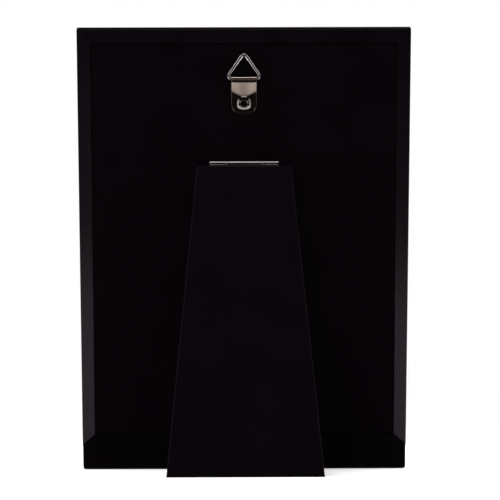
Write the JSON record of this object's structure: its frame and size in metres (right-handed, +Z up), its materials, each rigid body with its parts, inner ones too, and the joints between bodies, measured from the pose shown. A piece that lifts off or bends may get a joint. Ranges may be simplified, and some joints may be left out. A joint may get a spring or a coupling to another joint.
{
  "type": "tabletop photo frame",
  "caption": "Rectangular tabletop photo frame with mitred rails, a glazed front, a push-fit back, a hinged easel leg and a folding hanging ring.",
  "frame": {"origin": "on the table, under the middle of the standing frame's width and depth", "axes": "+X to the right as seen from the picture side, +Y from the picture side to the back where the leg stands, +Z up; the frame leans back 16 degrees"},
  "size_m": [0.1642, 0.0956, 0.2197],
  "materials": {
    "rail_wrap": "satin black wrap on fibreboard moulding",
    "board_wrap": "black paper covering on board",
    "clear_glass": "clear float glass",
    "photo_paper": "blank satin print paper",
    "black_card": "matt black pressed card",
    "nickel_plate": "bright nickel plate",
    "bare_steel": "plain drawn steel"
  },
  "bodies": {
    "frame": {"top_rail": "rail_wrap", "bottom_rail": "rail_wrap", "left_rail": "rail_wrap", "right_rail": "rail_wrap", "corner_nail_top_left": "bare_steel", "corner_nail_top_right": "bare_steel", "corner_nail_bottom_left": "bare_steel", "corner_nail_bottom_right": "bare_steel", "glass_pane": "clear_glass", "photo_sheet": "photo_paper", "filler_card": "black_card"},
    "back": {"back_panel": "board_wrap", "hinge_panel_leaf": "nickel_plate", "hinge_pin": "bare_steel", "panel_rivet_left": "nickel_plate", "panel_rivet_right": "nickel_plate", "hanger_strap": "nickel_plate", "hanger_eyelet": "nickel_plate", "hanger_washer": "bare_steel"},
    "leg": {"leg_board": "board_wrap", "leg_facing": "board_wrap", "hinge_leg_leaf": "nickel_plate", "leg_rivet_left": "nickel_plate", "leg_rivet_right": "nickel_plate"},
    "ring": {"hanger_ring": "nickel_plate"}
  },
  "joints": [
    {"name": "back_slide", "type": "slide", "parent": "frame", "child": "back", "axis": [0, 0.9613, -0.2756], "range_m": [0, 0.03]},
    {"name": "leg_hinge", "type": "hinge", "parent": "back", "child": "leg", "pos_m": [0, 0.00551, 0.15319], "axis": [1, 0, 0], "range_deg": [-30, 0]},
    {"name": "ring_hinge", "type": "hinge", "parent": "back", "child": "ring", "pos_m": [0, 0.01739, 0.19389], "axis": [-1, 0, 0], "range_deg": [-3, 170]}
  ]
}
